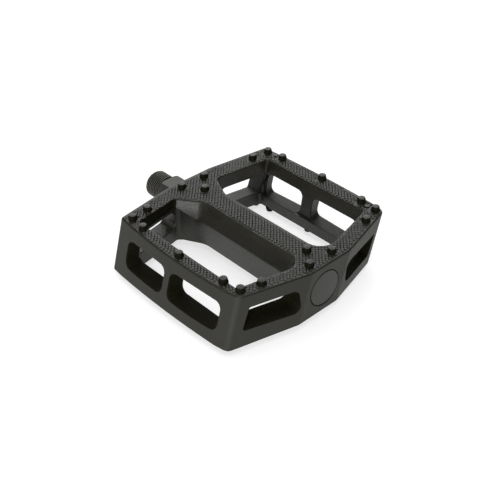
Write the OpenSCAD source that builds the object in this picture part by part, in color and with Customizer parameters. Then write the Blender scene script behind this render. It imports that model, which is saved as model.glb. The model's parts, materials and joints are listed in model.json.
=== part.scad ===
// Flat bicycle pedal: a moulded platform that spins on a steel axle.
// Origin on the axle line at the shoulder that meets the crank. +X runs outboard along the axle,
// +Y points forward and +Z is up. All sizes are in millimetres.

/* [Platform] */
// Length along the axle, between the middles of the two end faces
body_len = 98; // [90:0.5:120]
// Width of each tread face between its corners, front to back
tread_wid = 96.2; // [84:0.2:116]
// Thickness at the four corners
body_thick = 27.2; // [26:0.2:33]
// How far the upper face sits ahead of the lower one
lean = 7.8; // [4:0.1:10]
// Outward bow of the front and back edges at mid length
edge_bow = 2.2; // [0.5:0.1:3]
// Depth of the dish at the middle of each tread face
dish_depth = 1.6; // [0.6:0.1:2]
// Setback of the two inboard corners from the inboard end face
in_setback = 5.7; // [3:0.1:9]
// Setback of the two outboard corners from the outboard end face
out_setback = 8.5; // [4:0.1:11]
// Width of the flat middle of the inboard end face
in_flat = 26; // [20:0.5:34]
// Width of the flat middle of the outboard end face
out_flat = 24.6; // [20:0.5:34]
// Radius of the two upright corners at the inboard end
in_corner_r = 1.8; // [1:0.1:6]
// Radius of the two upright corners at the outboard end
out_corner_r = 4.5; // [1:0.1:6]

/* [Openings] */
// Tread width along the edge that overhangs
rail_wide = 9.6; // [8:0.1:12]
// Tread width along the edge that is undercut
rail_narrow = 6.6; // [6:0.1:9]
// Tread width of the inboard strip
in_strip = 10.2; // [8:0.1:13]
// Tread width of the outboard strip
out_strip = 9; // [8:0.1:12]
// Corner radius of the openings next to the rails
opening_r = 1.6; // [1:0.1:5]
// Fillet where the barrel meets the outboard strip
out_fillet_r = 8; // [4:0.1:10]
// Length of the flare where the bevel of the barrel meets the inboard strip, with its turn
flare_len = 15.5; // [8:0.5:18]
// Width of that flare
flare_wid = 8; // [4:0.1:10]
// Length of the flare where the undercut face meets the inboard strip, with its turn
low_flare_len = 14; // [8:0.5:16]
// Width of that flare
low_flare_wid = 5.3; // [3:0.1:7]
// Radius of the turn from a flare into the straight barrel
flare_turn_r = 12; // [2:0.5:12]
// Length of the fillet under the bevel's flare
brow_len = 6; // [3:0.1:8]
// Width of that fillet
brow_wid = 2.9; // [1:0.1:4]
// Height of the underside of the bevel's flare where it meets the strip
brow_up = 8.5; // [6:0.1:10]

/* [Windows] */
// Height of the windows in the front and back rails
rail_window_h = 13.2; // [10:0.1:17]
// How far those windows sit towards the edge that is undercut
rail_window_rise = 0.1; // [0:0.1:1]
// How much narrower those windows are at their inner face, on each side
rail_window_draft = 1.4; // [0:0.1:2]
// How much those windows close towards the opening, on the side away from the undercut
rail_window_close = 0.8; // [0:0.1:3]
// Height of the windows in the end strips
strip_window_h = 11.6; // [8:0.1:14]
// How far those windows sit towards the edge that is undercut
strip_window_rise = 0.9; // [0:0.1:2]
// How much the inboard windows close towards the opening, on the side that is undercut
in_window_close = 2; // [0:0.1:3]
// How much the outboard windows close towards the opening, on the side away from the undercut
out_window_close = 3.6; // [0:0.1:5]
// Corner radius of the windows
window_r = 3.4; // [1:0.1:3.6]
// Post left solid at the inboard end of each rail
in_post = 10; // [9:0.1:14]
// Post left solid at the outboard end of each rail
out_post = 9.3; // [7:0.1:14]
// Post between the two windows of a rail
mid_post = 4.5; // [3:0.1:10]
// How far that post stands inboard of the middle
mid_post_shift = 2.1; // [0:0.1:6]
// Solid wall either side of the axle in the end strips
hub_half = 15.4; // [14:0.1:18]
// Post left solid at the ends of the strip windows
strip_post = 6.3; // [5:0.1:10]

/* [Barrel] */
// Width of the tread along the barrel
barrel_tread = 12; // [10:0.1:15]
// How far that tread leans forward of the axle
barrel_lean = 1; // [0:0.1:2]
// Distance of the side crease from the axle line
crease_out = 9.6; // [9.2:0.1:12]
// Height of the side crease above the axle line
crease_up = 3.6; // [1:0.1:6]

/* [Studs] */
// Diameter of a stud at the tread
stud_base_d = 4.2; // [3:0.1:6]
// Diameter of a stud at its tip
stud_tip_d = 3.6; // [2:0.1:5]
// Height of a stud
stud_h = 2.3; // [1:0.1:5]

/* [Axle] */
// Outside diameter of the crank thread
thread_d = 14.2875; // [12:0.0125:18]
// Length of the crank thread
thread_len = 11.5; // [10:0.1:16]
// Flange diameter
flange_d = 18.2; // [17:0.1:23]
// Flange length along the axle
flange_len = 11.2; // [7:0.1:14]
// Distance across the wrench flats
wrench_flats = 15; // [14:0.5:17]
// Diameter of the journal that runs in the bush
journal_d = 12; // [11:0.1:14.4]
// Diameter of the waist next to the journal
waist_d = 10.4; // [9:0.1:10.8]
// Diameter of the waist next to the bearings
waist_end_d = 8.8; // [8.6:0.1:10.6]

/* [Bearings] */
// Bore of a bearing
bearing_bore = 6; // [5:0.1:7.2]
// Outside diameter of a bearing
bearing_od = 13; // [12:0.1:15.6]
// Width of a bearing
bearing_w = 5; // [4:0.1:6]
// Ball diameter
ball_d = 2; // [1.6:0.05:2.2]
// Number of balls
ball_count = 8; // [6:1:9]
// Sleeve between the two inner rings
spacer_len = 2; // [1:0.1:6]

/* [Bush, nut and cap] */
// Wall of the journal bush
bush_wall = 1; // [0.8:0.1:1.4]
// Length of the journal bush
bush_len = 18; // [10:0.5:24]
// Length of the lip seal
seal_len = 3.2; // [2:0.1:5]
// Radial width of the lip seal
seal_wid = 2.9; // [2:0.1:4]
// Distance across the flats of the lock nut
nut_flats = 10; // [9:0.1:10.6]
// Height of the lock nut
nut_h = 6; // [5:0.1:7.2]
// Thickness of the thrust washer
washer_t = 1.2; // [0.8:0.1:2]
// Diameter of the end cap
cap_d = 18; // [17:0.1:21.6]
// Thickness of the end cap's disc
cap_t = 2.2; // [1.6:0.1:3]
// Length of the end cap's spigot
spigot_len = 4; // [3:0.1:5]
// Thickness of the ring that holds the cap
o_ring_d = 1; // [0.8:0.1:1.2]

/* [Clearances] */
// Gap between the flange and the platform
flange_gap = 1.6; // [0.6:0.1:4]
// Running clearance on radius between turning pieces
run_gap = 0.05; // [0.02:0.01:0.1]
// Clearance on radius between pieces that are pushed together
push_gap = 0.01; // [0.005:0.005:0.02]
// Groove that shows round the end cap
cap_groove = 0.25; // [0.1:0.05:0.6]
// Room round the shaft where it touches nothing
shaft_room = 0.6; // [0.4:0.1:1]

/* [Hidden] */
$fn = 96;

moulding_black = [0.13, 0.13, 0.125];
axle_black = [0.19, 0.19, 0.18];
bearing_steel = [0.72, 0.73, 0.75];
rubber_black = [0.08, 0.08, 0.08];
bush_bronze = [0.62, 0.47, 0.28];
cage_brass = [0.72, 0.6, 0.34];
nylon_white = [0.85, 0.85, 0.82];

// How far a cutter runs past the face that it opens
past = 4;
// Thickness of the slices that a hull joins, and the facets of their discs
slice = 0.02;
hull_fn = 32;

half_t = body_thick / 2;
half_w = tread_wid / 2;
in_face = flange_len + flange_gap;
out_face = in_face + body_len;
in_corner = in_face + in_setback;
out_corner = out_face - out_setback;
mid_x = (in_corner + out_corner) / 2;
half_span = (out_corner - in_corner) / 2;

// The dish is a large ball that touches the four corners of a tread face
corner_reach = norm([half_span, half_w]);
dish_r = (corner_reach ^ 2 + dish_depth ^ 2) / (2 * dish_depth);

// Forward shift of the platform's section at height z
function lean_at(z) = lean / 2 * z / half_t;

// Height of the upper tread face at a point
function tread_z(x, y) = half_t - dish_depth + dish_r
    - sqrt(dish_r ^ 2 - (x - mid_x) ^ 2 - (y - lean / 2) ^ 2);

// Outward bow of the front and back edges at a place along the axle
function bow_at(x) = edge_bow * (1 - ((x - mid_x) / half_span) ^ 2);

// A value on the straight line through two points
function on_line(at, from, to) =
    from[1] + (to[1] - from[1]) * (at - from[0]) / (to[0] - from[0]);

// The end strips are as wide all the way, so their inner edges follow the end faces
function in_edge(y) = in_strip + on_line(abs(y), [in_flat / 2, in_face], [half_w, in_corner]);
function out_edge(y) = -out_strip + on_line(abs(y), [out_flat / 2, out_face], [half_w, out_corner]);

// Inner face of the back rail, from its narrow upper tread to its wide lower tread
rail_in_top = lean / 2 - half_w - edge_bow + rail_narrow;
rail_in_low = -lean / 2 - half_w - edge_bow + rail_wide;
function rail_edge(z) = on_line(z, [half_t, rail_in_top], [-half_t, rail_in_low]);

// Back side of the barrel: a bevel down to the crease, then an undercut face
barrel_z = half_t - dish_depth;
barrel_top = [barrel_z, barrel_lean - barrel_tread / 2];
barrel_crease = [crease_up, -crease_out];
barrel_low = [-barrel_z, -barrel_lean - barrel_tread / 2];
function barrel_edge(z) = z > crease_up
    ? on_line(z, barrel_crease, barrel_top)
    : on_line(z, barrel_crease, barrel_low);

// Windows of the rails along the axle
window_start = in_corner + in_post;
window_end = out_corner - out_post;
mid_post_x = (window_start + window_end) / 2 - mid_post_shift;

// Places of the pieces along the axle
bush_start = in_face + seal_len;
bush_end = bush_start + bush_len;
spigot_start = out_face - cap_t - spigot_len;
nut_room = 1.4;
axle_end = spigot_start + nut_room;
nut_start = axle_end - nut_h - push_gap;
washer_start = nut_start - washer_t;
far_start = washer_start - bearing_w;
spacer_start = far_start - spacer_len;
near_start = spacer_start - bearing_w;

// Radii that fitted pieces share
journal_r = journal_d / 2;
bush_r = journal_r + run_gap + bush_wall;
seal_r = journal_r + seal_wid;
seat_r = bearing_bore / 2;
bearing_r = bearing_od / 2;
waist_room_r = waist_d / 2 + shaft_room;
cap_r = cap_d / 2;
cap_step = 1;
spigot_r = cap_r - cap_step;
pitch_r = (seat_r + bearing_r) / 2;
ball_r = ball_d / 2;
race_r = ball_r + run_gap;
land_share = 0.7;
land = land_share * ball_r;
inner_land_r = pitch_r - land;
outer_land_r = pitch_r + land;

// Turns a shape drawn up +Z so that it lies along the axle from x
module along(x) translate([x, 0, 0]) rotate([0, 90, 0]) children();

// Solid rod along the axle between two places
module rod(from, to, r) along(from) cylinder(r = r, h = to - from);

// Ring along the axle between two places
module ring(from, to, inner, outer) along(from) rotate_extrude()
    translate([inner, 0]) square([outer - inner, to - from]);

// Rectangle with round corners, from its lowest corner
module round_rect(low, high, r) {
    translate([low.x + r, low.y]) square([high.x - low.x - 2 * r, high.y - low.y]);
    translate([low.x, low.y + r]) square([high.x - low.x, high.y - low.y - 2 * r]);
    for (x = [low.x + r, high.x - r])
        for (y = [low.y + r, high.y - r])
            translate([x, y]) circle(r = r);
}

// Draws the same shape again for the other face, half a turn round the axle
module both_faces() {
    children();
    rotate([180, 0, 0]) children();
}

// Outline of the platform at height z, as a thin slice with round corners and bowed edges
module outline_slice(z) {
    bow_steps = 8;
    bow_share = 0.8;
    xs = [for (i = [0:bow_steps]) mid_x + half_span * bow_share * (2 * i / bow_steps - 1)];
    front = [for (x = xs) [x, half_w + bow_at(x) + lean_at(z)]];
    back = [for (x = xs) [x, -half_w - bow_at(x) + lean_at(z)]];
    ends = [[in_face, in_flat / 2], [in_face, -in_flat / 2],
        [out_face, out_flat / 2], [out_face, -out_flat / 2]];
    translate([0, 0, z - slice / 2]) {
        for (side = [-1, 1]) {
            translate([in_corner + in_corner_r, side * (half_w - in_corner_r) + lean_at(z), 0])
                cylinder(r = in_corner_r, h = slice, $fn = hull_fn);
            translate([out_corner - out_corner_r, side * (half_w - out_corner_r) + lean_at(z), 0])
                cylinder(r = out_corner_r, h = slice, $fn = hull_fn);
        }
        for (p = concat(front, back, ends))
            translate([p.x, p.y, 0]) cylinder(r = slice, h = slice, $fn = 4);
    }
}

// Leaning block that the platform is cut from
module platform_block() hull() {
    outline_slice(half_t);
    outline_slice(-half_t);
}

// Corner discs of the back opening, each as place and radius, for a slice at height z
flare_r = 2;
function rail_corners(z) = let (y = rail_edge(z) + opening_r) [
    [in_edge(y) + opening_r, y, z, opening_r],
    [out_edge(y) - opening_r, y, z, opening_r]];
function barrel_corners(z, length, wid, rise, turn_r) =
    let (y = barrel_edge(z), x = in_edge(hub_half) + flare_r) [
    [out_edge(hub_half) - out_fillet_r, y - out_fillet_r, z, out_fillet_r],
    [x + length, y - turn_r, z, turn_r],
    [x, y - wid - flare_r, z + rise, flare_r]];

// Joins corner discs into a cutter
module join_discs(discs) hull() for (d = discs)
    translate([d.x, d.y, d.z]) cylinder(r = d[3], h = slice, $fn = hull_fn);

// The back opening above the crease
module upper_opening() {
    top = half_t + past;
    join_discs(concat(
        rail_corners(top), barrel_corners(top, flare_len, flare_wid, 0, flare_turn_r),
        rail_corners(crease_up), barrel_corners(crease_up, flare_len, flare_wid, 0, flare_turn_r)));
}

// The back opening below the crease, which rises under the bevel's flare
module lower_opening() {
    low = -half_t - past;
    join_discs(concat(
        rail_corners(low), barrel_corners(low, low_flare_len, low_flare_wid, 0, flare_turn_r),
        rail_corners(crease_up),
        barrel_corners(crease_up, brow_len, brow_wid, brow_up - crease_up, flare_r)));
}

// The two windows of the back rail, whose sides and sill draw in towards the opening
module back_rail_windows() {
    spans = [[window_start, mid_post_x - mid_post / 2], [mid_post_x + mid_post / 2, window_end]];
    out_y = -half_w - edge_bow;
    rail_t = (rail_wide + rail_narrow) / 2;
    reach = lean / 2 + past;
    tall = rail_window_h / 2;
    draw_in = rail_window_draft / rail_t;
    climb = rail_window_close / rail_t;
    sill = rail_window_rise - tall;
    from_y = out_y - reach;
    to_y = out_y + rail_t + reach;
    for (s = spans) intersection() {
        translate([0, to_y, rail_window_rise]) rotate([90, 0, 0]) linear_extrude(to_y - from_y)
            round_rect([s[0], -tall], [s[1], tall], window_r);
        translate([0, 0, -half_t]) linear_extrude(body_thick) polygon([
            [s[0] - draw_in * reach, from_y], [s[1] + draw_in * reach, from_y],
            [s[1] - draw_in * (rail_t + reach), to_y], [s[0] + draw_in * (rail_t + reach), to_y]]);
        rotate([90, 0, 90]) linear_extrude(out_face) polygon([
            [from_y, sill - climb * reach], [to_y, sill + climb * (rail_t + reach)],
            [to_y, half_t], [from_y, half_t]]);
    }
}

// The window of the inboard strip, whose ceiling slopes down towards the opening
module back_in_window() {
    from = in_face - past;
    to = in_edge(half_w) + past;
    ceiling = strip_window_rise + strip_window_h / 2;
    slope = in_window_close / in_strip;
    drop = slope * (to - in_corner);
    rise = slope * (in_corner - from);
    intersection() {
        back_strip_window(from, to);
        rotate([90, 0, 0]) linear_extrude(half_w) polygon([
            [from, -half_t], [to, -half_t], [to, ceiling - drop], [from, ceiling + rise]]);
    }
}

// The window of the outboard strip, whose sill slopes up towards the opening
module back_out_window() {
    sill = strip_window_rise - strip_window_h / 2;
    climb = out_window_close / out_strip;
    deep = out_strip + past;
    // The strip turns away from the axle by this angle
    turn = atan2(out_face - out_corner, half_w - out_flat / 2);
    intersection() {
        back_strip_window(out_edge(half_w) - past, out_face + past);
        translate([out_corner, -half_w, 0]) rotate([0, 0, -turn])
            translate([0, half_w, 0]) rotate([90, 0, 0]) linear_extrude(half_w + past) polygon([
                [-deep, sill + climb * deep], [deep, sill - climb * deep], [deep, half_t], [-deep, half_t]]);
    }
}

// The window of one end strip behind the axle, cut off by a post that leans like the rail
module back_strip_window(from, to) {
    tall = strip_window_h / 2;
    post_y = strip_post - half_w;
    far_y = -half_w;
    // The outline is drawn with its width across the pedal and its height upwards
    translate([from, 0, strip_window_rise]) rotate([90, 0, 90]) linear_extrude(to - from) intersection() {
        round_rect([far_y, -tall], [-hub_half, tall], window_r);
        polygon([[post_y + lean_at(-tall), -tall], [0, -tall], [0, tall], [post_y + lean_at(tall), tall]]);
    }
}

// Bores along the barrel for the seal, the bush, the shaft, the bearings and the cap
module barrel_bores() {
    rod(in_face - past, bush_start, seal_r + push_gap);
    rod(bush_start - slice, bush_end, bush_r + push_gap);
    rod(bush_end - slice, near_start, waist_room_r);
    rod(near_start - push_gap, spigot_start, bearing_r + push_gap);
    rod(spigot_start - push_gap, out_face - cap_t, spigot_r + push_gap);
    rod(out_face - cap_t - push_gap, out_face + past, cap_r + cap_groove);
}

// Studs by a corner, each as its distances from that corner along and across the axle
in_corner_studs = [[4.9, 3.7], [3.4, 13.6], [14.5, 2.4]];
out_corner_studs = [[4.4, 4.2], [1.8, 14.2], [14.1, 3.2]];
// Studs by an end face, each as its distances from that face and from the middle of the tread
in_end_studs = [[4.8, 7.3], [4.8, -7.3], [13.9, 0]];
out_end_studs = [[5.2, 7.4], [5.2, -7.4], [13.8, 0]];
// Distance of the stud at mid rail from the bowed edge
rail_stud_in = 3.6;
// How much nearer to the edge the studs of the overhanging rail stand, on the upper and lower face
upper_shift = 1.1;
lower_shift = -0.2;

// Places of the studs on the upper face, with the overhanging rail's studs moved by a shift
function side_y(side, in, shift) = side * (half_w - in) + (side > 0 ? shift : 0) + lean / 2;
function stud_places(shift) = [
    for (side = [-1, 1]) each [
        for (p = in_corner_studs) [in_corner + p[0], side_y(side, p[1], shift)],
        for (p = out_corner_studs) [out_corner - p[0], side_y(side, p[1], shift)],
        [mid_x, side_y(side, rail_stud_in - edge_bow, shift)]],
    for (p = in_end_studs) [in_face + p[0], lean / 4 + p[1]],
    for (p = out_end_studs) [out_face - p[0], lean / 4 + p[1]]];

module studs(shift) {
    root = 1;
    for (p = stud_places(shift))
        translate([p.x, p.y, tread_z(p.x, p.y) - root])
            cylinder(d1 = stud_base_d, d2 = stud_tip_d, h = stud_h + root);
}

// The lens of air over the upper face, as deep as the dish
module dish() {
    steps = 10;
    reach_x = body_len / 2 + past;
    reach_y = half_w + edge_bow + lean + past;
    grid = [for (i = [0:steps]) for (j = [0:steps])
        [mid_x + reach_x * (2 * i / steps - 1), reach_y * (2 * j / steps - 1)]];
    floor_points = [for (p = grid) [p.x, p.y, tread_z(p.x, p.y)]];
    roof_points = [for (i = [-1, 1]) for (j = [-1, 1]) [mid_x + i * reach_x, j * reach_y, half_t + past]];
    points = concat(floor_points, roof_points);
    hull() polyhedron(points, [[for (i = [0:len(points) - 1]) i]]);
}

module platform_body() color(moulding_black) {
    difference() {
        platform_block();
        both_faces() dish();
        both_faces() upper_opening();
        both_faces() lower_opening();
        both_faces() back_rail_windows();
        both_faces() back_in_window();
        both_faces() back_out_window();
        barrel_bores();
    }
    studs(upper_shift);
    rotate([180, 0, 0]) studs(lower_shift);
}

// The axle is turned from one bar, then two wrench flats are milled on its flange
module axle() color(axle_black) difference() {
    thread_bevel = 1;
    flange_bevel = 0.8;
    tip_bevel = 0.5;
    collar = 1;
    along(0) rotate_extrude() polygon([
        [0, -thread_len],
        [thread_d / 2 - thread_bevel, -thread_len],
        [thread_d / 2, -thread_len + thread_bevel],
        [thread_d / 2, 0],
        [flange_d / 2 - flange_bevel, 0],
        [flange_d / 2, flange_bevel],
        [flange_d / 2, flange_len],
        [journal_r, flange_len],
        [journal_r, bush_end - collar],
        [waist_d / 2, bush_end],
        [waist_end_d / 2, near_start - 2 * collar],
        [inner_land_r, near_start - collar],
        [inner_land_r, near_start],
        [seat_r, near_start],
        [seat_r, axle_end - tip_bevel],
        [seat_r - tip_bevel, axle_end],
        [0, axle_end]]);
    for (side = [-1, 1])
        translate([-past, -flange_d, side * (wrench_flats / 2 + flange_d / 2) - flange_d / 2])
            cube([flange_len + 2 * past, 2 * flange_d, flange_d]);
}

// Round plug with a hollow spigot and a groove for its ring
o_ring_at = out_face - cap_t - spigot_len / 2;
module end_cap() color(moulding_black) difference() {
    spigot_wall = 2;
    union() {
        rod(out_face - cap_t, out_face, cap_r);
        rod(spigot_start, out_face - cap_t, spigot_r - run_gap);
    }
    rod(spigot_start - past, out_face - cap_t, spigot_r - spigot_wall);
    ring(o_ring_at - o_ring_d / 2 - run_gap, o_ring_at + o_ring_d / 2 + run_gap,
        spigot_r - o_ring_d + run_gap / 2, spigot_r + past);
}

module cap_o_ring() color(rubber_black) along(o_ring_at) rotate_extrude()
    translate([spigot_r - o_ring_d / 2 + run_gap / 2, 0]) circle(d = o_ring_d - run_gap);

module lip_seal() color(rubber_black) ring(in_face, bush_start - push_gap, journal_r + run_gap, seal_r);

module journal_bush() color(bush_bronze) ring(bush_start, bush_end - push_gap, journal_r + run_gap, bush_r);

// Bearing pieces, each for a bearing that starts at a given place
module inner_ring(start) color(bearing_steel) difference() {
    ring(start + push_gap, start + bearing_w - push_gap, seat_r + push_gap, inner_land_r);
    race(start);
}

module outer_ring(start) color(bearing_steel) difference() {
    ring(start, start + bearing_w - push_gap, outer_land_r, bearing_r);
    race(start);
}

module race(start) along(start + bearing_w / 2) rotate_extrude() translate([pitch_r, 0]) circle(r = race_r);

module at_balls(start) for (i = [0:ball_count - 1])
    translate([start + bearing_w / 2, 0, 0]) rotate([360 * i / ball_count, 0, 0])
        translate([0, 0, pitch_r]) children();

module balls(start) color(bearing_steel) at_balls(start) sphere(r = ball_r);

module cage(start) color(cage_brass) difference() {
    cage_gap = 0.3;
    half_wall = land - cage_gap;
    half_len = ball_r + cage_gap;
    middle = start + bearing_w / 2;
    ring(middle - half_len, middle + half_len, pitch_r - half_wall, pitch_r + half_wall);
    at_balls(start) sphere(r = race_r);
}

module bearing_seals(start) color(rubber_black) {
    seal_t = 0.4;
    inset = 0.2;
    for (from = [start + inset, start + bearing_w - inset - seal_t])
        ring(from, from + seal_t, inner_land_r + run_gap, outer_land_r - push_gap);
}

module ring_spacer() color(bearing_steel)
    ring(spacer_start, far_start - push_gap, seat_r + push_gap, inner_land_r);

module thrust_washer() color(bearing_steel)
    ring(washer_start, nut_start - push_gap, seat_r + push_gap, inner_land_r);

// Hexagon nut with a round collar that holds a nylon ring
collar_h = 2.2;
collar_step = 0.2;
insert_h = 1.4;
insert_wid = 1.2;
insert_r = seat_r + insert_wid;
insert_start = nut_start + nut_h - (collar_h + insert_h) / 2;
module lock_nut() color(bearing_steel) difference() {
    union() {
        along(nut_start) cylinder(d = nut_flats / cos(30), h = nut_h - collar_h, $fn = 6);
        rod(nut_start, nut_start + nut_h, nut_flats / 2 - collar_step);
    }
    rod(nut_start - past, nut_start + nut_h + past, seat_r + push_gap);
    rod(insert_start, insert_start + insert_h, insert_r + push_gap);
}

module nut_insert() color(nylon_white)
    ring(insert_start + push_gap, insert_start + insert_h - push_gap, seat_r + push_gap, insert_r);

platform_body();
axle();
end_cap();
cap_o_ring();
lip_seal();
journal_bush();
inner_ring(near_start);  // near_bearing_inner_ring
outer_ring(near_start);  // near_bearing_outer_ring
balls(near_start);  // near_bearing_balls
cage(near_start);  // near_bearing_cage
bearing_seals(near_start);  // near_bearing_seals
inner_ring(far_start);  // far_bearing_inner_ring
outer_ring(far_start);  // far_bearing_outer_ring
balls(far_start);  // far_bearing_balls
cage(far_start);  // far_bearing_cage
bearing_seals(far_start);  // far_bearing_seals
ring_spacer();
thrust_washer();
lock_nut();
nut_insert();
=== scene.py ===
# %% [markdown]
# # A flat bicycle pedal, piece by piece
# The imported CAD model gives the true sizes, the bodies and the joint. This lesson rebuilds the pieces
# that show, with the soft edges, the pebbled tread and the finishes that the real pedal has.

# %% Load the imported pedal
import json
import math
import bpy
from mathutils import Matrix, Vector


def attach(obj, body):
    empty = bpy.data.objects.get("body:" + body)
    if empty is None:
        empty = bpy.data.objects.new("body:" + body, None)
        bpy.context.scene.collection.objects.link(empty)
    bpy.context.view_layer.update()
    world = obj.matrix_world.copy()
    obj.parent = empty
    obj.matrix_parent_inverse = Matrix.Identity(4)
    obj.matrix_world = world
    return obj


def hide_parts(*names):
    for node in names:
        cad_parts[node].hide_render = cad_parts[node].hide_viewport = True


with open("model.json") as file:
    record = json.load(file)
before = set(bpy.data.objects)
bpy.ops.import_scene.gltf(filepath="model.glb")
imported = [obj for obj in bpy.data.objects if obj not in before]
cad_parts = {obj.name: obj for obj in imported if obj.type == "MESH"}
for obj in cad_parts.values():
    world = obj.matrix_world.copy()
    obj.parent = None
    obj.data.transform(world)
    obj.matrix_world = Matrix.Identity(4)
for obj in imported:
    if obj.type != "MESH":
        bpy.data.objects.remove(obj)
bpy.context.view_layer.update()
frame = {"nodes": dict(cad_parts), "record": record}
MM = 0.001

# %% [markdown]
# ## The sizes that the pieces share
# X runs along the axle, Y points forward and Z is up, with the origin at the shoulder of the axle.
# The lengths are in millimetres and each mesh is scaled to metres when it is made. The platform leans:
# its upper face sits ahead of its lower face, and half a turn about the axle gives the same shape again.

# %% Sizes of the platform
in_face, body_len = 12.8, 98.0
in_setback, out_setback = 5.7, 8.5
in_flat, out_flat = 26.0, 24.6
half_w, half_t = 48.1, 13.6
lean, edge_bow, dish_depth = 7.8, 2.2, 1.6
in_corner_r, out_corner_r = 1.8, 4.5
in_strip, out_strip, rail_wide, rail_narrow = 10.2, 9.0, 9.6, 6.6
out_face = in_face + body_len
in_corner, out_corner = in_face + in_setback, out_face - out_setback
mid_x, half_span = (in_corner + out_corner) / 2, (out_corner - in_corner) / 2
dish_r = (half_span ** 2 + half_w ** 2 + dish_depth ** 2) / (2 * dish_depth)
print("dish radius", round(dish_r, 1), "mm")


# %% Where the faces of the platform run
def lean_at(z):
    return lean / 2 * z / half_t


def tread_z(x, y):
    """Height of the dished upper tread."""
    return half_t - dish_depth + dish_r - math.sqrt(dish_r ** 2 - (x - mid_x) ** 2 - (y - lean / 2) ** 2)


def bow_at(x):
    return edge_bow * (1 - ((x - mid_x) / half_span) ** 2)


def on_line(at, start, end):
    return start[1] + (end[1] - start[1]) * (at - start[0]) / (end[0] - start[0])


def in_edge(y):
    """Edge of the openings along the inboard strip, which follows the bent end face."""
    return in_strip + on_line(abs(y), (in_flat / 2, in_face), (half_w, in_corner))


def out_edge(y):
    return -out_strip + on_line(abs(y), (out_flat / 2, out_face), (half_w, out_corner))


def half_turn(p):
    return (p[0], -p[1], -p[2])


def half_turned(loops):
    return [[half_turn(p) for p in loop] for loop in loops]


print("tread height in the middle", round(tread_z(mid_x, lean / 2), 2), "mm")


# %% [markdown]
# ## Two helpers for shaping
# Most pieces here are closed skins: a stack of outlines joined by faces. A grid primitive is exactly that
# once its points are moved to the outlines, its seam is welded and its two ends are filled. A second helper
# walks round a set of discs, as a string pulled tight would, which gives outlines with rounded corners.

# %% Helper: a skin over outlines
skin_weld = 0.002


def edit_all(obj):
    bpy.ops.object.select_all(action="DESELECT")
    bpy.context.view_layer.objects.active = obj
    obj.select_set(True)
    bpy.ops.object.mode_set(mode="EDIT")
    bpy.ops.mesh.select_all(action="SELECT")


def skin_over(name, rows, cols, point, weld):
    """Moves a grid to the places, in millimetres, of point(row, col), and closes it into a solid piece."""
    bpy.ops.object.select_all(action="DESELECT")
    bpy.ops.mesh.primitive_grid_add(x_subdivisions=cols, y_subdivisions=rows, size=1)
    obj = bpy.context.object
    obj.name = obj.data.name = name
    for v in obj.data.vertices:
        row, col = round((v.co.y + 0.5) * rows), round((v.co.x + 0.5) * cols)
        v.co = Vector(point(row, col)) * MM
    edit_all(obj)
    bpy.ops.mesh.remove_doubles(threshold=weld * MM)
    bpy.ops.mesh.select_all(action="SELECT")
    bpy.ops.mesh.fill_holes(sides=0)
    bpy.ops.mesh.select_all(action="SELECT")
    bpy.ops.mesh.normals_make_consistent(inside=False)
    bpy.ops.object.mode_set(mode="OBJECT")
    return obj


def skin(name, loops):
    """Closes a stack of outlines that all have the same number of points."""
    cols = len(loops[0])
    return skin_over(name, len(loops) - 1, cols, lambda row, col: loops[row][col % cols], skin_weld)


print("skins are welded at", skin_weld, "mm")


# %% Helper: a string round discs
def round_discs(discs, steps=6):
    """Points, outward directions and disc numbers along a string round discs (x, y, radius)."""
    turns = []
    for i, disc in enumerate(discs):
        after = discs[(i + 1) % len(discs)]
        dx, dy = after[0] - disc[0], after[1] - disc[1]
        slant = math.asin((disc[2] - after[2]) / math.hypot(dx, dy))
        turns.append(math.atan2(dy, dx) - math.pi / 2 + slant)
    points = []
    for i, (x, y, r) in enumerate(discs):
        start, sweep = turns[i - 1], (turns[i] - turns[i - 1]) % (2 * math.pi)
        if sweep > math.pi:
            sweep -= 2 * math.pi
        shares = [j / steps for j in range(steps + 1)] if r > 0 else [0.5]
        for share in shares:
            nx, ny = math.cos(start + sweep * share), math.sin(start + sweep * share)
            points.append((x + r * nx, y + r * ny, nx, ny, i))
    return points


print("a string round three discs has", len(round_discs([(0, 0, 1), (9, 0, 1), (0, 9, 1)])), "points")


# %% [markdown]
# ## Finishes
# The platform is black moulded plastic: nearly neutral, a little warm, with a fine matt grain from the mould
# and slow changes of tone. It is not the same everywhere, so it has four finishes: the treads have a slight
# sheen, the outer walls are duller, the walls of the openings are coarser, and the insides of the windows
# are dull and very dark, a painted shade. The axle is black too; the crests of its thread are lighter,
# partly wear and partly a painted highlight, and painted shade darkens the grooves between them. Two effects
# are shared by all the finishes, so each is a node group: one gives a slow drift of tone, the other a fine
# grain with its height. They read Object coordinates, which stay with the piece when it turns.

# %% Node groups: tone drift and fine grain
def new_group(name, scale, outputs):
    group = bpy.data.node_groups.new(name, "ShaderNodeTree")
    socket = group.interface.new_socket(name="Scale", in_out="INPUT", socket_type="NodeSocketFloat")
    socket.default_value = scale
    for label in outputs:
        group.interface.new_socket(name=label, in_out="OUTPUT", socket_type="NodeSocketFloat")
    return group, group.nodes.new("NodeGroupInput"), group.nodes.new("NodeGroupOutput")


def add_noise(group, source, detail, rough):
    place = group.nodes.new("ShaderNodeTexCoord")
    noise = group.nodes.new("ShaderNodeTexNoise")
    noise.inputs["Detail"].default_value = detail
    noise.inputs["Roughness"].default_value = rough
    group.links.new(place.outputs["Object"], noise.inputs["Vector"])
    group.links.new(source.outputs["Scale"], noise.inputs["Scale"])
    return noise.outputs["Fac"]


def stretch(group, value, low, high):
    """Spreads the middle range of a noise over 0 to 1."""
    spread = group.nodes.new("ShaderNodeMapRange")
    spread.inputs["From Min"].default_value, spread.inputs["From Max"].default_value = low, high
    group.links.new(value, spread.inputs["Value"])
    return spread.outputs["Result"]


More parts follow.
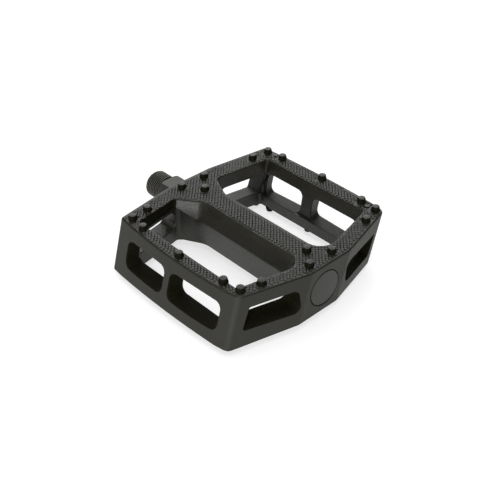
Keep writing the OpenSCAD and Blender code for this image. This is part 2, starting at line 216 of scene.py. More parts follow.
tone_drift, drift_in, drift_out = new_group("tone_drift", 60.0, ["Tone"])
drift_noise = add_noise(tone_drift, drift_in, detail=3.0, rough=0.55)
tone_drift.links.new(stretch(tone_drift, drift_noise, 0.3, 0.7), drift_out.inputs["Tone"])
fine_grain, grain_in, grain_out = new_group("fine_grain", 2400.0, ["Speck", "Height"])
grain_noise = add_noise(fine_grain, grain_in, detail=2.0, rough=0.6)
fine_grain.links.new(stretch(fine_grain, grain_noise, 0.25, 0.75), grain_out.inputs["Speck"])
fine_grain.links.new(grain_noise, grain_out.inputs["Height"])
print("groups", [g.name for g in bpy.data.node_groups])


# %% A finish: two tones, two roughnesses and a grain
def finish(name, dark, light, rough, scale=(60.0, 2400.0), bump=(0.25, 0.00004),
           metallic=0.0, specular=0.5, speck=0.4):
    """scale is of the drift and the grain, bump is strength and distance, speck is the grain's share."""
    mat = bpy.data.materials.new(name)
    mat.use_nodes = True
    nodes, links = mat.node_tree.nodes, mat.node_tree.links
    surface = nodes["Principled BSDF"]
    surface.inputs["Metallic"].default_value = metallic
    surface.inputs["Specular IOR Level"].default_value = specular
    drift, grain = nodes.new("ShaderNodeGroup"), nodes.new("ShaderNodeGroup")
    drift.node_tree, grain.node_tree = tone_drift, fine_grain
    drift.inputs["Scale"].default_value, grain.inputs["Scale"].default_value = scale
    specks, pattern = nodes.new("ShaderNodeMath"), nodes.new("ShaderNodeMath")
    specks.operation, pattern.operation = "MULTIPLY", "MULTIPLY_ADD"
    specks.inputs[1].default_value, pattern.inputs[1].default_value = speck, 1 - speck
    links.new(grain.outputs["Speck"], specks.inputs[0])
    links.new(drift.outputs["Tone"], pattern.inputs[0])
    links.new(specks.outputs["Value"], pattern.inputs[2])
    blend = nodes.new("ShaderNodeMix")
    blend.data_type, blend.blend_type = "RGBA", "MIX"
    blend.inputs["A"].default_value, blend.inputs["B"].default_value = (*dark, 1), (*light, 1)
    links.new(pattern.outputs["Value"], blend.inputs["Factor"])
    links.new(blend.outputs["Result"], surface.inputs["Base Color"])
    spread = nodes.new("ShaderNodeMapRange")
    spread.inputs["To Min"].default_value, spread.inputs["To Max"].default_value = rough
    links.new(pattern.outputs["Value"], spread.inputs["Value"])
    links.new(spread.outputs["Result"], surface.inputs["Roughness"])
    relief = nodes.new("ShaderNodeBump")
    relief.inputs["Strength"].default_value, relief.inputs["Distance"].default_value = bump
    links.new(grain.outputs["Height"], relief.inputs["Height"])
    links.new(relief.outputs["Normal"], surface.inputs["Normal"])
    return mat


print("each finish uses", tone_drift.name, "and", fine_grain.name)

# %% Finishes of the mouldings
coarse = {"scale": (90.0, 1000.0), "bump": (0.8, 0.0002)}
# Painted shade for the insides of the windows and the sides of the studs: a very dark, dull copy of the
# plastic
window_painted_shade = finish("window_painted_shade_black", (0.0038, 0.0034, 0.0008), (0.0115, 0.0108, 0.0048),
                     rough=(0.6, 0.75), specular=0.07, speck=0.6, **coarse)
opening_wall = finish("opening_wall_black", (0.0045, 0.004, 0.0008), (0.019, 0.0178, 0.0102),
                      rough=(0.32, 0.5), specular=0.42, speck=0.7, **coarse)
moulding = finish("moulding_black", (0.0048, 0.0045, 0.0012), (0.0112, 0.0105, 0.0046),
                  rough=(0.36, 0.5), scale=(60.0, 1600.0), bump=(0.4, 0.00008), specular=0.42)
outer_wall = finish("outer_wall_black", (0.0052, 0.0048, 0.0012), (0.0125, 0.0117, 0.005),
                    rough=(0.52, 0.66), scale=(60.0, 1200.0), bump=(0.6, 0.00012), speck=0.5)
cap_plastic = finish("cap_black", (0.006, 0.0056, 0.002), (0.0125, 0.0117, 0.0055),
                     rough=(0.34, 0.46), specular=0.42)
print("the platform's own finishes", [m.name for m in (moulding, outer_wall, opening_wall, window_painted_shade)])

# %% Finishes of the axle and the hidden pieces
turning = {"scale": (120.0, 2000.0), "bump": (0.3, 0.00005)}
axle_black = finish("axle_black_oxide", (0.036, 0.0348, 0.03), (0.058, 0.0565, 0.05),
                    rough=(0.44, 0.58), metallic=0.35, **turning)
# Lighter crests of the thread, partly wear and partly a painted highlight, and painted shade in its grooves
crest_wear_and_highlight = finish("thread_crest_wear_and_highlight", (0.09, 0.087, 0.075), (0.13, 0.127, 0.112),
                    rough=(0.4, 0.52), metallic=0.4, **turning)
root_painted_shade = finish("thread_root_painted_shade", (0.005, 0.0046, 0.0025), (0.011, 0.0102, 0.007),
                   rough=(0.6, 0.75), scale=(120.0, 2000.0), specular=0.1)
bearing_steel = finish("bearing_steel", (0.55, 0.56, 0.58), (0.68, 0.69, 0.71),
                       rough=(0.16, 0.3), scale=(150.0, 3000.0), bump=(0.05, 0.00002), metallic=1.0)
seal_rubber = finish("seal_rubber", (0.012, 0.012, 0.012), (0.022, 0.022, 0.021),
                     rough=(0.6, 0.78), scale=(90.0, 1800.0))
bush_bronze = finish("bush_bronze", (0.33, 0.18, 0.07), (0.45, 0.27, 0.12),
                     rough=(0.3, 0.45), scale=(120.0, 2600.0), bump=(0.1, 0.00003), metallic=1.0)
cage_brass = finish("cage_brass", (0.52, 0.36, 0.12), (0.62, 0.45, 0.18),
                    rough=(0.28, 0.42), scale=(120.0, 2600.0), bump=(0.08, 0.00003), metallic=1.0)
nylon_white = finish("nylon_white", (0.62, 0.62, 0.58), (0.72, 0.72, 0.68),
                     rough=(0.4, 0.55), scale=(80.0, 1500.0))
print("materials in the file", len(bpy.data.materials))

# %% [markdown]
# ## The block of the platform
# The real body is one moulding. It could be bevelled after all its holes are cut, but bevels on cut shapes
# tear easily. Here every outline already carries its rounded edge: the skin starts at the middle of the
# upper tread, follows the dish outwards, turns over a small radius, runs down the leaning wall and comes
# back under the lower tread.

# %% Outline of the platform
flat_r, flat_turn = 5.0, 0.5
bow_steps, bow_share = 8, 0.8
bow_xs = [mid_x + half_span * bow_share * (2 * i / bow_steps - 1) for i in range(bow_steps + 1)]
back_edge = [(x, -half_w - bow_at(x), 0) for x in bow_xs]
front_edge = [(x, half_w + bow_at(x), 0) for x in reversed(bow_xs)]
in_x, in_y = in_corner + in_corner_r, half_w - in_corner_r
out_x, out_y = out_corner - out_corner_r, half_w - out_corner_r
in_mid, out_mid = in_flat / 2 - flat_turn, out_flat / 2 - flat_turn
platform_discs = [(in_x, -in_y, in_corner_r), *back_edge, (out_x, -out_y, out_corner_r)]
platform_discs += [(out_face - flat_r, -out_mid, flat_r), (out_face - flat_r, out_mid, flat_r)]
platform_discs += [(out_x, out_y, out_corner_r), *front_edge, (in_x, in_y, in_corner_r)]
platform_discs += [(in_face + flat_r, in_mid, flat_r), (in_face + flat_r, -in_mid, flat_r)]
platform_outline = round_discs(platform_discs, 8)
print("outline", len(platform_outline), "points")

# %% Skin the block
tread_edge_r, edge_steps = 0.9, 4
tread_shares = [0, 0.2, 0.4, 0.6, 0.8, 0.92]


def tread_loop(side, share, inset, drop):
    """The outline on the upper (1) or lower (-1) tread, shrunk to a share, drawn in and sunk."""
    loop = []
    for x, y, nx, ny, _ in platform_outline:
        x, y = mid_x + (x - inset * nx - mid_x) * share, (y - inset * ny) * share
        z = side * (tread_z(x, lean / 2 + side * y) - drop)
        loop.append((x, y + lean_at(z), z))
    return loop


def tread_side(side):
    """All outlines from the middle of a tread out over its rounded edge."""
    loops = [tread_loop(side, share, tread_edge_r, 0) for share in tread_shares]
    for i in range(edge_steps + 1):
        a = math.pi / 2 * i / edge_steps
        loops.append(tread_loop(side, 1, tread_edge_r * (1 - math.sin(a)), tread_edge_r * (1 - math.cos(a))))
    return loops


platform = skin("platform", tread_side(1) + tread_side(-1)[::-1])
platform.data.materials.append(moulding)
print("block", len(platform.data.polygons), "faces")

# %% [markdown]
# ## The two big openings
# The openings leave the barrel in the middle, with a bevel down to a crease and an undercut face below it.
# Where the bevel meets the inboard strip it flares out over a small brow. The cutter is one more skin:
# its outlines open a little at both treads, so the cut leaves an eased edge. Half a turn about the axle
# gives the cutter of the front opening. The new faces take the cutter's own finish.

# %% Faces round the back opening
hub_half, barrel_z = 15.4, half_t - dish_depth
barrel_tread, barrel_lean = 12.0, 1.0
crease_out, crease_up, crease_ease = 9.6, 3.6, 0.12
ledge_z, ledge_step = 6.7, 1.5
rail_in_top = lean / 2 - half_w - edge_bow + rail_narrow
rail_in_low = -lean / 2 - half_w - edge_bow + rail_wide


def barrel_edge(z):
    """Back face of the barrel: the bevel above the crease, the undercut below it."""
    if z > crease_up:
        return on_line(z, (crease_up, -crease_out), (barrel_z, barrel_lean - barrel_tread / 2))
    return on_line(z, (crease_up, -crease_out), (-barrel_z, -barrel_lean - barrel_tread / 2))


def rail_edge(z):
    """Inner face of the back rail, which steps back below a ledge."""
    if z > ledge_z:
        return rail_in_top
    return on_line(z, (ledge_z, rail_in_top - ledge_step), (-half_t, rail_in_low))


print("barrel", round(-2 * barrel_edge(crease_up), 2), "mm wide at the crease")

# %% Outlines of the back opening
opening_r, out_fillet_r, flare_r, flare_turn_r = 1.6, 8.0, 2.6, 12.0
flare_len, flare_wid, low_flare_len, low_flare_wid = 13.5, 8.0, 13.0, 5.3


def opening_discs(rail_up, barrel_y, length, flare_y, turn_r):
    """Discs in the five corners: two at the rail, the outboard fillet, and the two ends of the flare."""
    y = rail_edge(rail_up) + opening_r
    x = in_edge(hub_half) + flare_r
    return [(in_edge(y) + opening_r, y, opening_r), (out_edge(y) - opening_r, y, opening_r),
            (out_edge(hub_half) - out_fillet_r, barrel_y - out_fillet_r, out_fillet_r),
            (x + length, barrel_y - turn_r, turn_r), (x, flare_y - flare_r, flare_r)]


def at_tread(side, depth, open_by):
    """An outline that follows the upper (1) or lower (-1) tread at a depth below it."""
    y = barrel_edge(side * (barrel_z - depth))
    wid, length = (flare_wid, flare_len) if side > 0 else (low_flare_wid, low_flare_len)
    discs = opening_discs(side * (half_t - depth), y, length, y - wid, flare_turn_r)
    loop = []
    for px, py, nx, ny, _ in round_discs(discs):
        px, py = px + open_by * nx, py + open_by * ny
        loop.append((px, py, side * (tread_z(px, side * py) - depth)))
    return loop


def at_heights(rail_up, barrel_up, flare_up, barrel_y, length, flare_y, turn_r):
    """An outline with one height along the rail, one along the barrel and one at the end of the flare."""
    heights = [rail_up, rail_up, barrel_up, barrel_up, flare_up]
    discs = opening_discs(rail_up, barrel_y, length, flare_y, turn_r)
    return [(px, py, heights[i]) for px, py, _, _, i in round_discs(discs)]


def flat_at(loop, z):
    return [(p[0], p[1], z) for p in loop]


rim_depth, rim_open, clear_z = 0.1, 0.34, 20
# Depths below the tread, and how far the cutter opens there
opening_ease = [(-0.3, 0.75), (rim_depth, rim_open), (0.3, 0.13), (0.7, 0)]
above = [at_tread(1, depth, open_by) for depth, open_by in opening_ease]
below = [at_tread(-1, depth, open_by) for depth, open_by in reversed(opening_ease)]
print("outlines at the treads", len(above) + len(below))

# %% Outlines of the bevel and the brow
brow_len, brow_wid, brow_up = 6.0, 2.9, 8.5
brow_lead, brow_turn_r, under_up, under_turn_r = 4.0, 6.0, 2.2, 3.0
crease_y = -crease_out + crease_ease
brow_y = crease_y - brow_wid
# A row: heights at rail, barrel and flare, the edge of the barrel, then length, end and turn of the flare
brow_rows = [
    (ledge_z + 0.4, 5.4, 9.6, barrel_edge(5.4), flare_len, barrel_edge(9.6) - flare_wid, flare_turn_r),
    (ledge_z + 0.1, 4.6, 9.2, barrel_edge(4.6), flare_len, barrel_edge(9.2) - flare_wid, flare_turn_r),
    (ledge_z - 0.1, 3.9, brow_up + 0.2, crease_y, flare_len, barrel_edge(brow_up) - flare_wid, flare_turn_r),
    (ledge_z - 0.5, 3.5, brow_up - 0.1, crease_y, brow_len + brow_lead, brow_y, brow_turn_r),
    (under_up, under_up, brow_up - 1.2, barrel_edge(under_up), brow_len, brow_y, under_turn_r)]
brow = [at_heights(*row) for row in brow_rows]
back_cut = [flat_at(above[0], clear_z)] + above + brow + below + [flat_at(below[-1], -clear_z)]
print("the cutter has", len(back_cut), "outlines")


# %% Cut the openings
def carve(target, cutter, mat=None):
    """Cuts a piece; the new faces take the cutter's finish if it has one."""
    cut = target.modifiers.new("cut", "BOOLEAN")
    cut.operation, cut.solver, cut.object = "DIFFERENCE", "EXACT", cutter
    if mat:
        cutter.data.materials.append(mat)
        cut.material_mode = "TRANSFER"
    bpy.ops.object.select_all(action="DESELECT")
    bpy.context.view_layer.objects.active = target
    bpy.ops.object.modifier_apply(modifier=cut.name)
    bpy.data.objects.remove(cutter)


for name, loops in (("back_cut", back_cut), ("front_cut", half_turned(back_cut))):
    carve(platform, skin(name, loops), opening_wall)
print("with openings", len(platform.data.polygons), "faces")

# %% [markdown]
# ## The windows in the rails and strips
# Each window is cut by a skin that opens like a trumpet at the outer wall and a little less at the inner
# wall. The outlines are laid along the leaning, bowed wall itself, so the eased edge is even all round.
# The windows also narrow towards the openings: the sills climb in the rails and in the outboard strip, and
# the ceilings come down in the inboard strip.

# %% Outlines of the windows
window_r, tight_r = 3.4, 1.2
rail_window_h, rail_window_rise, rail_draft = 13.2, 0.1, 1.4
strip_window_h, strip_window_rise, strip_post = 11.6, 0.9, 6.3
in_window_close, out_window_close, rail_window_close = 2.0, 3.6, 0.8
rail_t = (rail_wide + rail_narrow) / 2


def rail_window_loop(span, depth, open_by, from_inside):
    low, high = rail_window_rise - rail_window_h / 2, rail_window_rise + rail_window_h / 2
    share = 1 if from_inside else max(0, depth) / rail_t
    draw, close = rail_draft * share, rail_window_close * share
    x0, x1, r = span[0] + draw + window_r, span[1] - draw - window_r, window_r
    discs = [(x0, low + r, r), (x1, low + r, r), (x1, high - r, r), (x0, high - r, r)]
    loop = []
    for x, z, nx, nz, _ in round_discs(discs):
        x, z = x + open_by * nx, z + open_by * nz
        z += close * (high - z) / (high - low)
        wall = rail_edge(z) - depth if from_inside else -half_w - bow_at(x) + lean_at(z) + depth
        loop.append((x, wall, z))
    return loop


def strip_window_loop(outboard, depth, open_by, from_inside):
    low, high = strip_window_rise - strip_window_h / 2, strip_window_rise + strip_window_h / 2
    post, hub, r, t = strip_post - half_w, -hub_half, window_r, tight_r
    discs = [(post + lean_at(low) + t, low + t, t), (hub - r, low + r, r),
             (hub - r, high - r, r), (post + lean_at(high) + t, high - t, t)]
    loop = []
    for y, z, ny, nz, _ in round_discs(discs):
        y, z = y + open_by * ny, z + open_by * nz
        if outboard:
            x = out_edge(y) + depth if from_inside else out_edge(y) + out_strip - depth
            close = out_window_close * max(0, out_edge(y) + out_strip - x) / out_strip
            z += close * (high - z) / (high - low)
        else:
            x = in_edge(y) - depth if from_inside else in_edge(y) - in_strip + depth
            close = in_window_close * max(0, x - in_corner) / in_strip
            z -= close * (z - low) / (high - low)
        loop.append((x, y, z))
    return loop


print("walls of the rails", round(rail_t, 2), "mm thick on average")

# %% Cut the windows
in_post, out_post, mid_post, mid_post_shift = 10.0, 9.3, 4.5, 2.1
# Depths into the outer and the inner wall, and how far the cutter opens there
outer_ease = [(-3, 0.75), (-0.25, 0.75), (0.08, 0.36), (0.3, 0.14), (0.7, 0)]
inner_ease = [(0.55, 0), (0.2, 0.12), (0.06, 0.26), (-0.2, 0.5), (-3, 0.5)]
window_start, window_end = in_corner + in_post, out_corner - out_post
mid_post_x = (window_start + window_end) / 2 - mid_post_shift
rail_spans = [(window_start, mid_post_x - mid_post / 2), (mid_post_x + mid_post / 2, window_end)]


def window_cut(make, which):
    outside = [make(which, depth, open_by, False) for depth, open_by in outer_ease]
    inside = [make(which, depth, open_by, True) for depth, open_by in inner_ease]
    return outside + inside


window_cuts = [window_cut(rail_window_loop, span) for span in rail_spans]
window_cuts += [window_cut(strip_window_loop, outboard) for outboard in (False, True)]
# The new window faces take the painted shade of the window insides
for back_window in window_cuts:
    for loops in (back_window, half_turned(back_window)):
        carve(platform, skin("window_cut", loops), window_painted_shade)
print("with windows", len(platform.data.polygons), "faces")


# %% [markdown]
# ## The bore along the barrel
# The seal, bush, bearings and cap sit in one stepped bore. A turned piece is a skin whose outlines are
# circles, so a short list of places and radii describes it.

# %% Cut the bore
def unit_circle(steps):
    turns = [2 * math.pi * i / steps for i in range(steps)]
    return [(math.cos(a), math.sin(a)) for a in turns]


def turned(name, profile, steps=72):
    """Turns a profile of places along X and radii."""
    return skin(name, [[(x, r * c, r * s) for c, s in unit_circle(steps)] for x, r in profile])


seal_end, bush_end, bearing_start = 16.0, 34.0, 86.8
cap_t, spigot_len = 2.2, 4.0
cap_seat = out_face - cap_t
spigot_start = cap_seat - spigot_len
seal_bore, bush_bore, shaft_bore, bearing_bore, spigot_bore, cap_bore = 8.91, 7.06, 5.8, 6.51, 8.01, 9.3
past_end, in_mouth, out_mouth = 4, 9.5, cap_bore + 0.45
bore = [(in_face - past_end, 0), (in_face - past_end, in_mouth), (in_face - 0.2, in_mouth),
        (in_face + 0.5, seal_bore), (seal_end, seal_bore), (seal_end, bush_bore), (bush_end, bush_bore),
        (bush_end, shaft_bore), (bearing_start, shaft_bore), (bearing_start, bearing_bore),
        (spigot_start, bearing_bore), (spigot_start, spigot_bore), (cap_seat, spigot_bore),
        (cap_seat, cap_bore), (out_face - 0.3, cap_bore), (out_face + 0.2, out_mouth),
        (out_face + past_end, out_mouth), (out_face + past_end, 0)]
carve(platform, turned("bore_cut", bore))
print("platform", len(platform.data.polygons), "faces")

# %% [markdown]
# ## Smooth shading with flat flats
# The eased edges are a few narrow faces, so they need smooth shading. Large flat faces must not catch that
# roundness, so the weighted normal modifier lets the biggest face at each corner decide the direction.
# Before that, the place and direction of each face sort the finishes. Steep outer faces are wall, and so
# are the sills of the front windows and the roofs of the back ones, and the inboard ends of the front
# windows. The other window faces carry painted shade. The inboard windows are lighter than the others,
# except for their ceilings, the outboard windows keep the painted shade all round, and the wall over the
# back inboard window gets painted shade as well.

# %% Sort the finishes of the platform
wall_tilt, rail_near, ceiling_tilt = 0.6, 40 * MM, -0.3
inboard_x, outboard_x, over_window = 27 * MM, 96 * MM, 6 * MM
platform.data.materials.append(outer_wall)
tread_index, wall_index, painted_shade_index, open_index = [
    platform.data.materials.find(mat.name) for mat in (moulding, outer_wall, window_painted_shade, opening_wall)]


def sorted_finish(now, at, way):
    """The finish for a face that has one now, from its place and the way it points."""
    inboard = at.x < inboard_x
    if now == tread_index and abs(way.z) < wall_tilt:
        return wall_index
    # Painted shade on the wall over the back inboard window
    if now == open_index and inboard and way.x > wall_tilt and at.y < 0 and at.z > over_window:
        return painted_shade_index
    # Window faces keep the painted shade unless a test below gives them another finish
    if now != painted_shade_index or at.x > outboard_x:
        return now
    if way.z * at.y > wall_tilt * rail_near:
        return wall_index
    if inboard and way.z > ceiling_tilt:
        return open_index
    return wall_index if way.x > wall_tilt and at.y > rail_near else now


for face in platform.data.polygons:
    face.material_index = sorted_finish(face.material_index, face.center, face.normal)
print("platform has", [m.name for m in platform.data.materials])


# %% Shade a finished piece
def shade(obj, angle=38, weld=0.003):
    edit_all(obj)
    bpy.ops.mesh.remove_doubles(threshold=weld * MM)
    bpy.ops.object.mode_set(mode="OBJECT")
    bpy.ops.object.shade_smooth_by_angle(angle=math.radians(angle))
    weigh = obj.modifiers.new("weigh", "WEIGHTED_NORMAL")
    weigh.keep_sharp = True
    bpy.ops.object.modifier_apply(modifier=weigh.name)


shade(platform)
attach(platform, "platform")
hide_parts("platform_body")
print("platform shaded,", len(platform.data.vertices), "points")

# %% [markdown]
# ## The studs
# Twenty studs stand on each tread, moulded with it. One stud is a small turned cone with an eased rim. It is
# copied to each place, and the copies for the lower tread are turned over. Two smooth round marks, such as
# the ejector pins of a mould leave, stand beside studs at two corners of each tread.

# %% Places of the studs
upper_shift, lower_shift, rail_stud_in = 1.1, -0.2, 3.6
in_corner_studs = [(4.9, 3.7), (3.4, 13.6), (14.5, 2.4)]
out_corner_studs = [(4.4, 4.2), (1.8, 14.2), (14.1, 3.2)]
in_end_studs = [(4.8, 7.3), (4.8, -7.3), (13.9, 0)]
out_end_studs = [(5.2, 7.4), (5.2, -7.4), (13.8, 0)]
mark_places = [(28.4, 50.2), (92.8, 48.7)]


def stud_places(front_shift):
    places = [(in_face + x, lean / 4 + y) for x, y in in_end_studs]
    places += [(out_face - x, lean / 4 + y) for x, y in out_end_studs]
    for side in (-1, 1):
        moved = (front_shift if side > 0 else 0) + lean / 2
        places += [(in_corner + x, side * (half_w - y) + moved) for x, y in in_corner_studs]
        places += [(out_corner - x, side * (half_w - y) + moved) for x, y in out_corner_studs]
        places += [(mid_x, side * (half_w - rail_stud_in + edge_bow) + moved)]
    return places


upper_studs, lower_studs = stud_places(upper_shift), stud_places(lower_shift)
print("studs", len(upper_studs), "on each tread")


# %% Model one stud and one mark
def turned_upright(name, profile, steps=28):
    """Turns a profile of heights and radii."""
    return skin(name, [[(r * c, r * s, z) for c, s in unit_circle(steps)] for z, r in profile])


stud_profile = [(-0.5, 0), (-0.5, 2.32), (0.1, 2.3), (0.5, 2.2), (1.2, 2.03), (2.1, 1.82),
                (2.22, 1.75), (2.28, 1.65), (2.3, 1.5), (2.3, 0)]
mark_profile = [(-0.3, 0), (-0.3, 1.4), (0.32, 1.4), (0.4, 1.32), (0.4, 0)]
stud, mark = turned_upright("stud", stud_profile), turned_upright("mark", mark_profile)
print("a stud has", len(stud.data.polygons), "faces, a mark", len(mark.data.polygons))


# %% Copy the studs and marks to their places
def copy_to(obj, place, turned_over):
    bpy.ops.object.select_all(action="DESELECT")
    bpy.context.view_layer.objects.active = obj
    obj.select_set(True)
    bpy.ops.object.duplicate(linked=False)
    new = bpy.context.object
    new.location = Vector(place) * MM
    new.rotation_euler = (math.pi if turned_over else 0, 0, 0)
    bpy.ops.object.transform_apply(location=True, rotation=True, scale=True)
    return new


def join(pieces, name):
    bpy.ops.object.select_all(action="DESELECT")
    for p in pieces:
        p.select_set(True)
    bpy.context.view_layer.objects.active = pieces[0]
    bpy.ops.object.join()
    pieces[0].name = pieces[0].data.name = name
    return pieces[0]


stud_copies = [copy_to(stud, (x, y, tread_z(x, y)), False) for x, y in upper_studs]
stud_copies += [copy_to(stud, half_turn((x, y, tread_z(x, y))), True) for x, y in lower_studs]
for x, y in mark_places:
    spot = (x, y, tread_z(x, y))
    stud_copies += [copy_to(mark, spot, False), copy_to(mark, half_turn(spot), True)]
studs = join(stud_copies, "studs")
for model in (stud, mark):
    bpy.data.objects.remove(model)
shade(studs)
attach(studs, "platform")
print("studs and marks", len(studs.data.polygons), "faces")

# %% [markdown]
# ## The pebbled tread
# Both treads are cut across by two sets of fine grooves at 45 degrees to the axle, which leaves rows of
# small blunt pyramids. Their feet nearly touch, and their tips are a little longer one way than the other,
# so the rows run more clearly in one direction. A bump would vanish at the silhouette and in the exported
# mesh, so one pyramid is modelled, arrayed in both directions, and the copies that miss the tread are
# deleted. The rest are lifted onto the dish.

# %% Model and array the pebbles
pebble_pitch, pebble_base, pebble_h, pebble_root = 1.45, 1.43, 0.42, 0.06
tip_along, tip_across, row_count = 1.08, 0.93, 110
half_side, depth = pebble_base / math.sqrt(2) * MM, (pebble_h + pebble_root) * MM
bpy.ops.object.select_all(action="DESELECT")
bpy.ops.mesh.primitive_cone_add(vertices=4, radius1=half_side, radius2=half_side, depth=depth)
pebbles = bpy.context.object
pebbles.name = pebbles.data.name = "tread_pebbles"
points_each = len(pebbles.data.vertices)
slant_step = pebble_pitch / math.sqrt(2)
start = Vector((mid_x, lean / 2 - row_count * slant_step, (pebble_h - pebble_root) / 2))
along, across = Vector((-1, 1, 0)).normalized(), Vector((1, 1, 0)).normalized()
for v in pebbles.data.vertices:
    if v.co.z > 0:
        v.co -= along * v.co.dot(along) * (1 - tip_along / pebble_base)
        v.co -= across * v.co.dot(across) * (1 - tip_across / pebble_base)
    v.co += start * MM
for name, dx in (("rows", slant_step), ("columns", -slant_step)):
    repeat = pebbles.modifiers.new(name, "ARRAY")
    repeat.count, repeat.use_relative_offset, repeat.use_constant_offset = row_count, False, True
    repeat.constant_offset_displace = (dx * MM, slant_step * MM, 0)
    bpy.ops.object.modifier_apply(modifier=name)
print("pebbles before trimming", len(pebbles.data.vertices) // points_each)

# %% Where pebbles stand
edge_band, opening_band, stud_band, mark_band = 0.95, 0.1, 2.75, 2.1
search_x, search_y, far_away, tiny = 52, 58, 1e9, 1e-12
tread_line = [(p[0], p[1]) for p in tread_loop(1, 1, 0, 0)]
back_line = [(p[0], p[1]) for p in at_tread(1, rim_depth, rim_open)]
front_line = [(p[0], -p[1]) for p in at_tread(-1, rim_depth, rim_open)]
reach = pebble_base / 2


def gap_to(loop, x, y):
    """Distance from a point to an outline, negative outside it."""
    inside, nearest = False, far_away
    for (x0, y0), (x1, y1) in zip(loop, loop[1:] + loop[:1]):
        if (y0 > y) != (y1 > y) and x < x0 + (x1 - x0) * (y - y0) / (y1 - y0):
            inside = not inside
        dx, dy = x1 - x0, y1 - y0
        share = max(0, min(1, ((x - x0) * dx + (y - y0) * dy) / (dx * dx + dy * dy + tiny)))
        nearest = min(nearest, math.hypot(x - x0 - share * dx, y - y0 - share * dy))
    return nearest if inside else -nearest


def on_tread(x, y):
    """Whether a pebble is on the tread and clear of its edges, the openings, the studs and the marks."""
    if abs(x - mid_x) > search_x or abs(y) > search_y or gap_to(tread_line, x, y) < edge_band + reach:
        return False
    if max(gap_to(back_line, x, y), gap_to(front_line, x, y)) > -opening_band - reach:
        return False
    if any(math.hypot(x - mx, y - my) < mark_band for mx, my in mark_places):
        return False
    return all(math.hypot(x - sx, y - sy) > stud_band for sx, sy in upper_studs + lower_studs)


print("tread width at the middle", round(2 * (half_w + bow_at(mid_x)), 1), "mm")

# %% Trim the pebbles to the tread and lift them onto the dish
points = pebbles.data.vertices
drop = [True] * len(points)
for i in range(0, len(points), points_each):
    spot = sum((points[i + j].co for j in range(points_each)), Vector()) / points_each / MM
    if on_tread(spot.x, spot.y):
        drop[i:i + points_each] = [False] * points_each
edit_all(pebbles)
bpy.ops.mesh.select_all(action="DESELECT")
bpy.ops.object.mode_set(mode="OBJECT")
points.foreach_set("select", drop)
bpy.ops.object.mode_set(mode="EDIT")
bpy.ops.mesh.delete(type="VERT")
bpy.ops.object.mode_set(mode="OBJECT")
for v in pebbles.data.vertices:
    v.co.z += tread_z(v.co.x / MM, v.co.y / MM) * MM
under = copy_to(pebbles, (0, 0, 0), True)
join([pebbles, under], "tread_pebbles")
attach(pebbles, "platform")
print("pebbles kept", len(pebbles.data.vertices) // points_each)

# %% [markdown]
# ## The axle
# The axle is turned from one bar. The thread for the crank is a real helix: the rows of its skin climb one
# pitch in each turn, so the seam closes on the next row. The flange next to it has two flats for a wrench,
# cut away with boxes.

# %% Turn the axle
flange_r, flange_len, journal_r, journal_taper = 9.1, 11.2, 6.0, 1.0
waist_r, waist_end_r, waist_end = 5.2, 4.4, 84.8
stop_r, stop_start, seat_r, tip_ease, axle_end = 4.05, 85.8, 3.0, 0.5, 106.0
thread_r, thread_root, thread_pitch, thread_end, thread_start = 7.14, 6.3, 1.27, -11.5, -1.1
core_start = thread_start - 0.4
neck = [(core_start, 0), (core_start, thread_root), (-0.35, thread_root), (-0.1, 6.45), (0, 6.8)]
front_bevel = [(0, 0.8), (0.08, 0.66), (0.7, 0.08), (0.85, 0)]
back_bevel = [(0.45, 0), (0.12, 0.12), (0, 0.45)]
flange = [(x, flange_r - less) for x, less in front_bevel]
flange += [(flange_len - x, flange_r - less) for x, less in back_bevel]
shaft = [(flange_len, journal_r + 0.4), (flange_len + 0.4, journal_r), (bush_end - journal_taper, journal_r),
         (bush_end, waist_r), (waist_end, waist_end_r), (stop_start, stop_r), (bearing_start, stop_r),
         (bearing_start, seat_r), (axle_end - tip_ease, seat_r), (axle_end, seat_r - tip_ease),
         (axle_end, 0)]
axle = turned("axle_bar", neck + flange + shaft)
print("bar", len(axle.data.polygons), "faces")

# %% Cut the flats for a wrench
wrench_flats, box_len, box_wid, box_h, box_past = 15.0, 15, 40, 10, 2
for side in (-1, 1):
    bpy.ops.object.select_all(action="DESELECT")
    bpy.ops.mesh.primitive_cube_add(size=1)
    box = bpy.context.object
    for v in box.data.vertices:
        up = wrench_flats / 2 + (v.co.z + 0.5) * box_h
        v.co = Vector(((v.co.x + 0.5) * box_len - box_past, v.co.y * box_wid, side * up)) * MM
    edit_all(box)
    bpy.ops.mesh.normals_make_consistent(inside=False)
    bpy.ops.object.mode_set(mode="OBJECT")
    carve(axle, box)
print("with flats", len(axle.data.polygons), "faces")

# %% Wind the thread
thread_cols, rows_each, thread_weld = 64, 8, 0.004
flank_steep, root_width = 2.5, 0.5
lead_r, lead_slope = 6.25, 0.9
thread_turns = math.ceil((thread_start - thread_end) / thread_pitch) + 2


def thread_point(row, col):
    """A point of the helix, kept between the ends of the thread and under the bevels of both ends."""
    turn, rise = col / thread_cols, row / rows_each
    x = min(max(thread_end + (rise - 1 + turn) * thread_pitch, thread_end), thread_start)
    wave = abs((rise % 1) * 2 - 1)
    r = thread_root + (thread_r - thread_root) * min(1, max(0, wave * flank_steep - root_width))
    r = min(r, lead_r + (x - thread_end) * lead_slope, lead_r + (thread_start - x) * lead_slope)
    a = 2 * math.pi * turn
    return (x, r * math.cos(a), r * math.sin(a))


thread = skin_over("thread", thread_turns * rows_each, thread_cols, thread_point, thread_weld)
axle = join([axle, thread], "axle_turned")
shade(axle, 33)
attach(axle, "axle_group")
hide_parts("axle")
print("axle", len(axle.data.polygons), "faces,", thread_turns, "turns of thread")

# %% [markdown]
# ## The end cap
# A round plug closes the outboard end of the bore. It sits flush, so only a fine groove shows round it.

